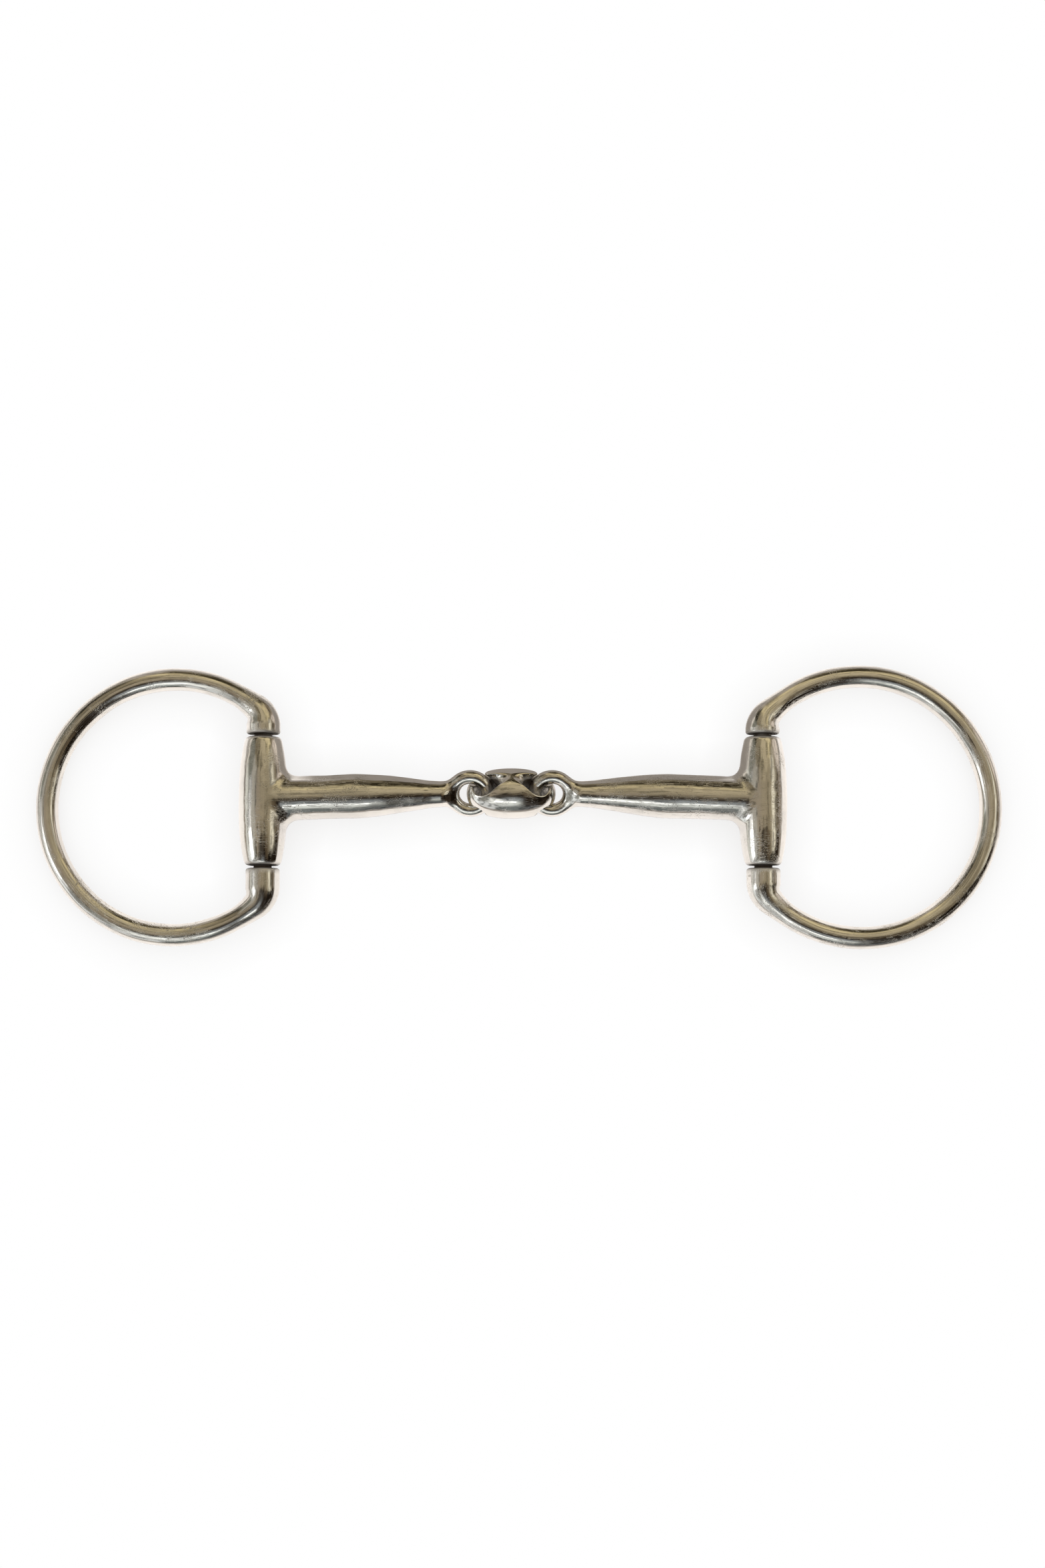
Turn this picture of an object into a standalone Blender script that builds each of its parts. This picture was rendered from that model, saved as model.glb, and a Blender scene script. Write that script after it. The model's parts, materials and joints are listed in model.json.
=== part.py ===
"""Eggbutt snaffle bit with a lozenge link: five castings, joined by four hinges.

The bit lies flat on the plane Z = 0.  X runs along the mouthpiece, from the left
ring to the right ring, and Y runs along the barrels.  The origin is under the
middle of the bit.  Sizes are in metres.
"""

from collections import namedtuple
from math import acos, asin, cos, pi, radians, sin

import bmesh
import bpy
from mathutils import Matrix, Vector

MM = 0.001

# The halves are hand-finished castings, so their sizes differ a little: the distance
# from the lozenge's middle to the barrel, the ring's radius, and the distance from the
# barrel to the ring's centre.  The clear mouthpiece is 125 mm between the barrels.
Half = namedtuple("Half", "name side barrel_reach ring_radius ring_reach")
HALVES = (
    Half("left", -1, 68.7 * MM, 38.7 * MM, 24.7 * MM),
    Half("right", 1, 69.7 * MM, 39.5 * MM, 27.2 * MM),
)

# Mouthpiece.
ARM_RADIUS = 6.1 * MM
ARM_NECK_RADIUS = 3.5 * MM
ARM_RISE = 1.65 * MM

# Barrels, the upright tubes at the ends of the mouthpiece.
BARREL_LENGTH = 35.7 * MM
BARREL_RADIUS = 6.7 * MM
BORE_RADIUS = 2.85 * MM
BARREL_DROP = 2.1 * MM
ROOT_HALF_HEIGHT = 8.8 * MM

# Rings, round bars that end in a pin inside each mouth of the barrel's bore.
BAR_RADIUS = 3.1 * MM
RING_OFFSET = 1.45 * MM
PIN_RADIUS = 2.5 * MM
PIN_LENGTH = 10.0 * MM
FACE_GAP = 0.8 * MM
HORN_RADIUS = 4.7 * MM
HORN_LIP = 0.45 * MM
HORN_BEND = 6.0 * MM
HORN_END_RADIUS = 3.4 * MM
PIN_CHAMFER = 0.6 * MM

# Lozenge, the olive-shaped middle link, and the eyes that pass through it.
LOZENGE_HALF_LENGTH = 12.3 * MM
LOZENGE_RADIUS = 7.0 * MM
LOZENGE_BLUNTNESS = 2.25
HOLE_SPACING = 6.4 * MM
HOLE_RADIUS = 2.85 * MM
HOLE_FLARE = 63.0
HOLE_SQUASH = 0.86
RIDGE_WIDTH = 1.2 * MM
HOLE_TILT = radians(62.0)
HINGE_REACH = 6.5 * MM
EYE_RADIUS = 4.85 * MM
EYE_WIRE_RADIUS = 1.8 * MM
EYE_TILT = radians(24.0)
EYE_CLEARANCE = 0.4 * MM
EYE_SWING = radians(46.0)

# The slot ends short of the outermost eye cutters, so no two cutters share a plane.
SLOT_SWING = radians(44.6)
EYE_CUTS = (-1.0, -0.5, 0.0, 0.5, 1.0)

# Where the parts lie.
LOZENGE_X = -2.14 * MM
BARREL_Z = BARREL_RADIUS
BARREL_Y = RING_OFFSET
LOZENGE_Y = BARREL_Y + BARREL_DROP
LOZENGE_Z = LOZENGE_RADIUS

# A cage of eight points round a circle gives a smooth circle smaller by this much.
CAGE_SIDES = 8
CAGE_SHRINK = (2 + cos(2 * pi / CAGE_SIDES)) / 3
EYE_SEGMENTS = 12
HORN_STEPS = 3
BAR_STEPS = 23
EYE_SHRINK = (2 + cos(2 * pi / EYE_SEGMENTS)) / 3

POLISHED_STEEL = (0.60, 0.57, 0.52, 1.0)


def clear_scene():
    """Remove the objects that the file opened with."""
    for old in list(bpy.data.objects):
        bpy.data.objects.remove(old, do_unlink=True)


def steel(name):
    """Polished stainless steel for one casting."""
    material = bpy.data.materials.new(name)
    material.use_nodes = True
    shader = material.node_tree.nodes["Principled BSDF"]
    shader.inputs["Base Color"].default_value = POLISHED_STEEL
    shader.inputs["Metallic"].default_value = 1.0
    shader.inputs["Roughness"].default_value = 0.12
    material.diffuse_color = POLISHED_STEEL
    return material


def add_object(name, bm, location=(0, 0, 0)):
    """Turn a bmesh into a named object with its own material."""
    bmesh.ops.recalc_face_normals(bm, faces=bm.faces)
    mesh = bpy.data.meshes.new(name)
    bm.to_mesh(mesh)
    bm.free()
    obj = bpy.data.objects.new(name, mesh)
    obj.location = location
    mesh.materials.append(steel(name))
    bpy.context.scene.collection.objects.link(obj)
    return obj


def add_loop(bm, points):
    return [bm.verts.new(point) for point in points]


def join_loops(bm, first, second):
    """Close the strip between two loops of equal length with four-sided faces."""
    count = len(first)
    for i in range(count):
        j = (i + 1) % count
        bm.faces.new((first[i], first[j], second[j], second[i]))


def circle_points(centre, across, up, sides, turn=0.0):
    """Points round an ellipse with the half-axes across and up."""
    steps = [turn + 2 * pi * i / sides for i in range(sides)]
    return [centre + across * cos(a) + up * sin(a) for a in steps]


# ---------------------------------------------------------------- rings


def ring_stations(half):
    """Centre line of a ring as (out, along, heading, radius), from pin to pin.

    out is the distance from the barrel's axis, along runs up that axis, and
    heading is the direction of travel, measured from straight up.
    """
    face = BARREL_LENGTH / 2 + FACE_GAP
    bar_circle = half.ring_radius - BAR_RADIUS
    centre_distance = bar_circle - HORN_BEND
    bend = acos((half.ring_reach - HORN_BEND) / centre_distance)
    bend_rise = centre_distance * sin(bend)
    pin_end = BARREL_LENGTH / 2 - PIN_LENGTH
    straight = [
        (pin_end, PIN_RADIUS - PIN_CHAMFER),
        (pin_end + PIN_CHAMFER, PIN_RADIUS),
        (face, PIN_RADIUS),
        (face, HORN_RADIUS - HORN_LIP),
        (face + HORN_LIP, HORN_RADIUS),
    ]

    def horn(sign):
        """One end of the ring, from the pin to where the bar's circle begins."""
        stations = [(0.0, sign * along, 0.0, radius) for along, radius in straight]
        for step in range(HORN_STEPS + 1):
            part = step / HORN_STEPS
            angle = bend * part
            out = HORN_BEND * (1 - cos(angle))
            along = sign * (bend_rise + HORN_BEND * sin(angle)) - RING_OFFSET
            radius = HORN_RADIUS + (HORN_END_RADIUS - HORN_RADIUS) * part ** 1.2
            stations.append((out, along, sign * angle, radius))
        return stations

    bar = []
    for step in range(1, BAR_STEPS):
        angle = (pi - bend) * (1 - 2 * step / BAR_STEPS)
        out = half.ring_reach + bar_circle * cos(angle)
        along = bar_circle * sin(angle) - RING_OFFSET
        bar.append((out, along, pi - angle, BAR_RADIUS))
    return horn(1) + bar + horn(-1)[::-1]


def add_ring(half):
    """A ring, hinged on the axis of its barrel and drooping to the plane below."""
    side = half.side
    sides = 12
    flat_down = pi / sides
    bm = bmesh.new()
    loops = []
    for out, along, heading, radius in ring_stations(half):
        centre = Vector((side * out, along, 0))
        across = Vector((side * cos(heading), -sin(heading), 0)) * radius
        up = Vector((0, 0, radius))
        loops.append(add_loop(bm, circle_points(centre, across, up, sides, flat_down)))
    for first, second in zip(loops, loops[1:]):
        join_loops(bm, first, second)
    bm.faces.new(loops[0])
    bm.faces.new(loops[-1])
    far_side = half.ring_reach + half.ring_radius - BAR_RADIUS
    barrel_x = LOZENGE_X + side * half.barrel_reach
    ring = add_object(half.name + "_ring", bm, (barrel_x, BARREL_Y, BARREL_Z))
    ring.rotation_euler.y = side * asin((BARREL_Z - BAR_RADIUS) / far_side)
    return ring


# -------------------------------------------------------------- cannons


def barrel_rows(root):
    """Outline of a barrel's wall, from its middle row outwards, for one end.

    Each row is the distance from the barrel's middle and the radius there.
    """
    half = BARREL_LENGTH / 2
    return [
        (root, BARREL_RADIUS * 0.985),
        (half - 4.2 * MM, BARREL_RADIUS * 0.885),
        (half - 1.3 * MM, BARREL_RADIUS * 0.795),
        (half, BARREL_RADIUS * 0.735),
        (half, BARREL_RADIUS * 0.60),
        (half, BORE_RADIUS),
        (half - 5.0 * MM, BORE_RADIUS),
    ]


def add_barrel(bm, side, reach, crease):
    """The barrel's cage, with a window left open for the root of the arm.

    reach is the distance from the hinge to the barrel's axis.  Returns the eight
    corners round the window, in the arm's order.
    """
    axis_x = side * reach
    axis_z = BARREL_Z - LOZENGE_Z
    arm_row = BARREL_DROP - ARM_RISE

    def row(along, radius):
        cage_radius = radius / CAGE_SHRINK
        centre = Vector((axis_x, along - BARREL_DROP, axis_z))
        inward = Vector((-side * cage_radius, 0, 0))
        return add_loop(bm, circle_points(centre, inward, Vector((0, 0, cage_radius)), CAGE_SIDES))

    middle = row(arm_row, BARREL_RADIUS)
    bore_middle = row(0.0, BORE_RADIUS)
    windows = {}
    for end in (1, -1):
        root = end * arm_row + ROOT_HALF_HEIGHT
        rows = [row(end * along, radius) for along, radius in barrel_rows(root)]
        chain = [middle] + rows + [bore_middle]
        for first, second in zip(chain, chain[1:]):
            join_loops(bm, first, second)
        for i, corner in enumerate(rows[5]):
            edge = bm.edges.get((corner, rows[5][(i + 1) % CAGE_SIDES]))
            edge[crease] = 1.0
        windows[end] = rows[0]

    plus, minus = windows[1], windows[-1]
    centre_corner = middle[0]
    bmesh.ops.delete(bm, geom=[centre_corner], context="VERTS")
    return [plus[0], plus[1], middle[1], minus[1], minus[0], minus[-1], middle[-1], plus[-1]]


def add_eye(bm, side):
    """The eye's cage, a ring of wire with a window on the side of the arm."""
    along = Vector((0, cos(EYE_TILT), sin(EYE_TILT)))
    out = Vector((side, 0, 0))
    normal = Vector((0, -sin(EYE_TILT), cos(EYE_TILT)))
    circle = EYE_RADIUS / EYE_SHRINK
    wire = EYE_WIRE_RADIUS / CAGE_SHRINK
    loops = []
    for i in range(EYE_SEGMENTS):
        angle = 2 * pi * i / EYE_SEGMENTS
        radial = out * cos(angle) + along * sin(angle)
        centre = out * EYE_RADIUS + radial * circle
        points = circle_points(centre, radial * wire, normal * wire, CAGE_SIDES)
        loops.append(add_loop(bm, points))
    for i in range(EYE_SEGMENTS):
        join_loops(bm, loops[i], loops[(i + 1) % EYE_SEGMENTS])
    here, above, below = loops[0], loops[1], loops[-1]
    bmesh.ops.delete(bm, geom=[here[0]], context="VERTS")
    return [above[0], above[1], here[1], below[1], below[0], below[-1], here[-1], above[-1]]


def arm_stations(length):
    """Distance from the hinge and radius of the arm, from the eye to the barrel."""
    neck = 2 * EYE_RADIUS + EYE_WIRE_RADIUS
    return [
        (neck + 1.6 * MM, ARM_NECK_RADIUS),
        (neck + 6.0 * MM, ARM_NECK_RADIUS * 1.13),
        (neck + 11.5 * MM, ARM_NECK_RADIUS * 1.35),
        (neck + 17.5 * MM, ARM_NECK_RADIUS * 1.60),
        (neck + 23.5 * MM, ARM_RADIUS * 1.01),
        (neck + 28.5 * MM, ARM_RADIUS * 1.03),
        (length - 17.0 * MM, ARM_RADIUS * 0.985),
        (length - 12.0 * MM, ARM_RADIUS * 0.99),
        (length - 9.2 * MM, ARM_RADIUS * 1.09),
    ]


def add_cannon(half):
    """A cannon: eye, tapered arm and hollow barrel in one casting."""
    side = half.side
    length = half.barrel_reach - HINGE_REACH
    bm = bmesh.new()
    crease = bm.edges.layers.float.new("crease_edge")
    barrel_window = add_barrel(bm, side, length, crease)
    loops = [add_eye(bm, side)]
    for out, radius in arm_stations(length):
        part = out / length
        twist = EYE_TILT * (1 - part)
        centre = Vector((side * out, -ARM_RISE * part ** 1.6, (BARREL_Z - LOZENGE_Z) * part))
        along = Vector((0, cos(twist), sin(twist))) * (radius / CAGE_SHRINK)
        normal = Vector((0, -sin(twist), cos(twist))) * (radius / CAGE_SHRINK)
        loops.append(add_loop(bm, circle_points(centre, along, normal, CAGE_SIDES)))
    loops.append(barrel_window)
    for first, second in zip(loops, loops[1:]):
        join_loops(bm, first, second)
    hinge_x = LOZENGE_X + side * HINGE_REACH
    cannon = add_object(half.name + "_cannon", bm, (hinge_x, LOZENGE_Y, LOZENGE_Z))
    smooth = cannon.modifiers.new("Smooth surface", "SUBSURF")
    smooth.levels = 1
    smooth.render_levels = 1
    return cannon


# -------------------------------------------------------------- lozenge


def add_turned(bm, rows, frame, sides):
    """A turned solid: rows of (height, radius) about the Z axis of frame."""
    loops = []
    for height, radius in rows:
        points = circle_points(Vector((0, 0, height)), Vector((radius, 0, 0)),
                               Vector((0, radius, 0)), sides)
        loops.append(add_loop(bm, [frame @ point for point in points]))
    for first, second in zip(loops, loops[1:]):
        join_loops(bm, first, second)
    bm.faces.new(loops[0])
    bm.faces.new(loops[-1])


def add_olive(name):
    """The lozenge's body before its holes are cut."""
    steps = 16
    sides = 24
    power = LOZENGE_BLUNTNESS
    rows = []
    for step in range(steps + 1):
        part = -0.995 * cos(pi * step / steps)
        radius = LOZENGE_RADIUS * (1 - abs(part) ** power) ** (1 / power)
        rows.append((part * LOZENGE_HALF_LENGTH, radius))
    bm = bmesh.new()
    add_turned(bm, rows, Matrix.Rotation(pi / 2, 4, "Y"), sides)
    return add_object(name, bm, (LOZENGE_X, LOZENGE_Y, LOZENGE_Z))


def add_hole_cutter(name, side):
    """The flared hole, an oval wider along the lozenge, leaning back from the upright."""
    steps = 14
    reach = LOZENGE_RADIUS * 1.15
    widest = HOLE_SPACING - RIDGE_WIDTH / 2
    rows = []
    for step in range(steps + 1):
        height = reach * (2 * step / steps - 1)
        rows.append((height, min(HOLE_RADIUS + HOLE_FLARE * height ** 2, widest)))
    bm = bmesh.new()
    lean = Matrix.Rotation(HOLE_TILT - pi / 2, 4, "X") @ Matrix.Diagonal((1, HOLE_SQUASH, 1, 1))
    add_turned(bm, rows, lean, 24)
    return add_object(name, bm, (LOZENGE_X + side * HOLE_SPACING, LOZENGE_Y, LOZENGE_Z))


def eye_directions(side, swing):
    """Directions out along the arm and along the hinge, with the eye swung."""
    along = Vector((0, cos(EYE_TILT), sin(EYE_TILT)))
    normal = Vector((0, -sin(EYE_TILT), cos(EYE_TILT)))
    out = Vector((side, 0, 0)) * cos(swing) + normal * sin(swing)
    return out, along


def add_swing_cutter(name, half):
    """The slot that the eye sweeps through as it swings about its end bar."""
    sides = 20
    steps = 6
    nearest = 0.4 * MM
    outer = EYE_RADIUS + EYE_WIRE_RADIUS + EYE_CLEARANCE
    inner = EYE_RADIUS - EYE_WIRE_RADIUS - EYE_CLEARANCE
    bm = bmesh.new()
    slices = []
    for step in range(steps + 1):
        out, along = eye_directions(half.side, SLOT_SWING * (2 * step / steps - 1))
        rims = []
        for radius in (inner, outer):
            rim = []
            for i in range(sides):
                angle = 2 * pi * i / sides
                distance = max(EYE_RADIUS + radius * cos(angle), nearest)
                rim.append(out * distance + along * radius * sin(angle))
            rims.append(add_loop(bm, rim))
        slices.append(rims)
    for (inner_a, outer_a), (inner_b, outer_b) in zip(slices, slices[1:]):
        join_loops(bm, inner_a, inner_b)
        join_loops(bm, outer_a, outer_b)
    for rims in (slices[0], slices[-1]):
        join_loops(bm, rims[0], rims[1])
    hinge_x = LOZENGE_X + half.side * HINGE_REACH
    return add_object(name, bm, (hinge_x, LOZENGE_Y, LOZENGE_Z))


def add_eye_cutter(name, half, swing):
    """The room that the eye's wire takes up at one swing."""
    sides = 12
    segments = 20
    wire = EYE_WIRE_RADIUS + EYE_CLEARANCE
    out, along = eye_directions(half.side, swing)
    normal = out.cross(along)
    bm = bmesh.new()
    loops = []
    for i in range(segments):
        angle = 2 * pi * (i + 0.5) / segments
        radial = out * cos(angle) + along * sin(angle)
        centre = (out + radial) * EYE_RADIUS
        loops.append(add_loop(bm, circle_points(centre, radial * wire, normal * wire, sides)))
    for first, second in zip(loops, loops[1:] + loops[:1]):
        join_loops(bm, first, second)
    hinge_x = LOZENGE_X + half.side * HINGE_REACH
    return add_object(name, bm, (hinge_x, LOZENGE_Y, LOZENGE_Z))


def cut(body, cutter):
    """Subtract a hidden cutter from a body."""
    cutter.display_type = "WIRE"
    cutter.hide_render = True
    boolean = body.modifiers.new(cutter.name, "BOOLEAN")
    boolean.operation = "DIFFERENCE"
    boolean.solver = "EXACT"
    boolean.object = cutter


def add_lozenge():
    lozenge = add_olive("lozenge")
    for half in HALVES:
        cut(lozenge, add_hole_cutter(half.name + "_hole_cutter", half.side))
        cut(lozenge, add_swing_cutter(half.name + "_swing_cutter", half))
        for number, part in enumerate(EYE_CUTS):
            name = half.name + "_eye_cutter_" + str(number + 1)
            cut(lozenge, add_eye_cutter(name, half, EYE_SWING * part))
    return lozenge


def main():
    clear_scene()
    add_lozenge()
    for half in HALVES:
        add_cannon(half)
        add_ring(half)


main()
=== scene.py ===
"""Looks of the snaffle bit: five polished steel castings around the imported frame.

Each casting is described by a signed distance in millimetres, with soft blends where
the real castings have fillets, and turned into a mesh with a surface net.  The rings
are swept round bars.
"""

from collections import namedtuple
import json
import math

import bpy
import numpy as np
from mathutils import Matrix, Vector


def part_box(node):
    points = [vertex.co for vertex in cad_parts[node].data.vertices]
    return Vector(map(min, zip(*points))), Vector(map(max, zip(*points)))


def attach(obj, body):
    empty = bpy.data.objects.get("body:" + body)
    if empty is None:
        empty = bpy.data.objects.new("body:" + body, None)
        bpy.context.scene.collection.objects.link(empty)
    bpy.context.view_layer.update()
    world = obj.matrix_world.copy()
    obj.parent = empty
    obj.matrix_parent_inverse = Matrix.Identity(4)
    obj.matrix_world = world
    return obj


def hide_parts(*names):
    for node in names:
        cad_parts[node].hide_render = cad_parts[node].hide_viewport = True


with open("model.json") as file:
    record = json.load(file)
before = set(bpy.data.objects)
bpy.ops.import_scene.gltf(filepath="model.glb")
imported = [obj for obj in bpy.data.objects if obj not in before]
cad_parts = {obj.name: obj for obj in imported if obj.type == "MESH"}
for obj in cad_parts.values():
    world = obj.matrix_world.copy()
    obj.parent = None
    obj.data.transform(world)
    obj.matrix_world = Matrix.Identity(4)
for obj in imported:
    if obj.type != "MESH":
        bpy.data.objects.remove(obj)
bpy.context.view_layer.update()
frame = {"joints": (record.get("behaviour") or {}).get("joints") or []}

MM = 0.001
JOINTS = {joint["name"]: joint for joint in frame["joints"]}

# One half of the bit.  The joints' places, in millimetres, come from the frame.
Half = namedtuple("Half", "name side hinge pivot ring_radius ring_reach")


def make_half(name, side, ring_radius, ring_reach):
    hinge = np.array(JOINTS[name + "_link"]["pos_m"]) / MM
    pivot = np.array(JOINTS[name + "_ring_pivot"]["pos_m"]) / MM
    return Half(name, side, hinge, pivot, ring_radius, ring_reach)


LEFT = make_half("left", -1, 38.7, 24.7)
RIGHT = make_half("right", 1, 39.5, 27.2)
HINGE_AXIS = np.array(JOINTS["right_link"]["axis"])
EYE_TILT = math.atan2(HINGE_AXIS[2], HINGE_AXIS[1])
MIDDLE = np.array(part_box("lozenge")).mean(0) / MM

# Sizes in millimetres.  A profile is rows of (distance along, size there), a fillet is
# how wide one shape runs into the next, and a rounding is how wide an edge is eased.
BARREL_HALF = 17.85
BARREL_PROFILE = ((0.0, 6.7), (5.0, 6.62), (9.1, 6.43), (12.0, 6.08), (14.8, 5.62),
                  (16.7, 5.22), (17.85, 4.9), (25.0, 2.0))
BARREL_ROUNDING = 1.1
BORE_RADIUS = 2.85
BORE_ROUNDING = 0.35
ARM_LENGTH = 62.4
ARM_DIAMETERS = ((0.9, 6.6), (9.9, 6.8), (11.9, 7.0), (13.9, 7.3), (16.2, 7.6), (18.2, 8.3),
                 (20.6, 9.0), (25.1, 10.2), (29.5, 11.3), (31.7, 11.7), (33.9, 12.05),
                 (36.4, 12.35), (40.6, 12.2), (44.9, 12.1), (49.4, 12.1), (63.0, 12.1))
ARM_RISE = 1.65
ARM_RISE_POWER = 1.6
ARM_START = 11.0
ARM_ROUNDING = 2.0
ROOT_FILLET = 3.8
EYE_FILLET = 2.6
EYE_RADIUS = 4.85
EYE_WIRE = 1.9
EYE_CLEARANCE = 0.28
EYE_SWING = math.radians(46.0)
OLIVE_HALF = 12.3
OLIVE_RADIUS = 7.0
OLIVE_POWER = 2.25

# The lozenge's holes are ovals that lean by the tilt.  Their two radii are given inside
# and at the mouth, and the power says how late they change.
HOLE_SPACING = 6.9
HOLE_SHIFT = -1.0
HOLE_TILT = math.radians(54.0)
HOLE_TURN = math.radians(13.2)
HOLE_LONG = (3.6, 6.84)
HOLE_SHORT = (3.1, 2.0)
HOLE_POWER = 8
HOLE_MIDDLE = 1.5
HOLE_LOWER_SHIFT = 0.45
HOLE_LOWER_SHRINK = 0.08
HOLE_FILLET = 0.6
HOLE_ROUNDING = 0.4

BAR_RADIUS = 3.1
PIN_RADIUS = 2.5
PIN_LENGTH = 10.0
PIN_CHAMFER = 0.6
FACE_GAP = 0.8
HORN_RADIUS = 4.7
HORN_LIP = 0.7
HORN_BEND = 6.0
HORN_TAPER = 12.0
HORN_EASE = 0.62

# Hand polishing leaves swells: their height and length, long ones first.
CANNON_SWELLS = ((0.055, 11.0), (0.016, 4.2))
LOZENGE_SWELL = (0.02, 9.0)
RING_SWELLS = ((0.035, 13.0), (0.010, 4.5))

# Dirt and painted shade darken the steel within these distances of a seam, and painted shade
# darkens the inside of the lozenge's holes.
SEAM_REACH = 1.6
LINK_REACH = 3.4


# ------------------------------------------------------------ distance fields


def soft_min(a, b, k):
    """Union of two distances with a fillet about k wide."""
    h = np.maximum(k - np.abs(a - b), 0.0) / k
    return np.minimum(a, b) - h * h * k * 0.25


def soft_max(a, b, k):
    return -soft_min(-a, -b, k)


def smooth_table(rows, step=0.1, width=1.2):
    """A profile through rows of (position, value), smoothed, as a fine table."""
    rows = np.array(rows)
    xs = np.arange(rows[0, 0], rows[-1, 0], step)
    ys = np.interp(xs, rows[:, 0], rows[:, 1])
    reach = int(4 * width / step)
    kernel = np.exp(-0.5 * (np.arange(-reach, reach + 1) * step / width) ** 2)
    kernel /= kernel.sum()
    padded = np.concatenate([np.full(reach, ys[0]), ys, np.full(reach, ys[-1])])
    return xs, np.convolve(padded, kernel, mode="valid")


def waves(points, length, seed):
    """Smooth irregular swell between about -1 and 1, as left by hand polishing."""
    rng = np.random.default_rng(seed)
    total = np.zeros(len(points))
    count = 14
    for _ in range(count):
        direction = rng.normal(size=3)
        direction *= 2 * math.pi / (length * rng.uniform(0.7, 1.5)) / np.linalg.norm(direction)
        total += np.sin(points @ direction + rng.uniform(0, 2 * math.pi))
    return total / math.sqrt(count / 2.0) / 1.6


ARM_X, ARM_D = smooth_table(ARM_DIAMETERS, width=1.0)
ARM_SLOPE = np.gradient(ARM_D / 2, ARM_X)
BARREL_ROWS = [(-y, r) for y, r in BARREL_PROFILE[:0:-1]] + list(BARREL_PROFILE)
BARREL_X, BARREL_R = smooth_table(BARREL_ROWS, width=1.0)
BARREL_SLOPE = np.gradient(BARREL_R, BARREL_X)


def eye_distance(x, y, z):
    """Distance from the centre line of the eye's wire, seen from the hinge."""
    along = y * math.cos(EYE_TILT) + z * math.sin(EYE_TILT)
    normal = -y * math.sin(EYE_TILT) + z * math.cos(EYE_TILT)
    return np.hypot(np.hypot(x - EYE_RADIUS, along) - EYE_RADIUS, normal)


def cannon_field(points, half):
    """One cannon: eye, tapered arm and barrel."""
    y = points[:, 1] - half.hinge[1]
    z = points[:, 2] - half.hinge[2]
    out = (points[:, 0] - half.hinge[0]) * half.side
    length = abs(half.pivot[0] - half.hinge[0])

    eye = eye_distance(out, y, z) - EYE_WIRE

    part = np.clip(out / length, 0, 1)
    centre_y = -ARM_RISE * part ** ARM_RISE_POWER
    centre_z = (half.pivot[2] - half.hinge[2]) * part
    place = out / length * ARM_LENGTH
    radius = np.interp(place, ARM_X, ARM_D) / 2
    slope = np.interp(place, ARM_X, ARM_SLOPE)
    arm = (np.hypot(y - centre_y, z - centre_z) - radius) / np.sqrt(1 + slope ** 2)
    arm = soft_max(arm, ARM_START - out, ARM_ROUNDING)
    arm = np.maximum(arm, out - length)

    up = points[:, 1] - half.pivot[1]
    reach = np.hypot(points[:, 0] - half.pivot[0], points[:, 2] - half.pivot[2])
    radius = np.interp(up, BARREL_X, BARREL_R)
    slope = np.interp(up, BARREL_X, BARREL_SLOPE)
    barrel = (reach - radius) / np.sqrt(1 + slope ** 2)
    barrel = soft_max(barrel, np.abs(up) - BARREL_HALF, BARREL_ROUNDING)

    # The fillet fades towards the top and the underside, which stay level.
    height = np.clip(np.abs(points[:, 2] - half.pivot[2]) / BARREL_PROFILE[0][1], 0, 1)
    body = soft_min(arm, barrel, ROOT_FILLET * (1 - 0.9 * height ** 2))
    body = soft_min(body, eye, EYE_FILLET)
    (high, long), (low, short) = CANNON_SWELLS
    handwork = high * waves(points, long, 5 + half.side)
    handwork += low * waves(points, short, 8 + half.side)
    body += handwork * np.clip((out - 8) / 10, 0, 1)
    return soft_max(body, BORE_RADIUS - reach, BORE_ROUNDING)


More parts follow.
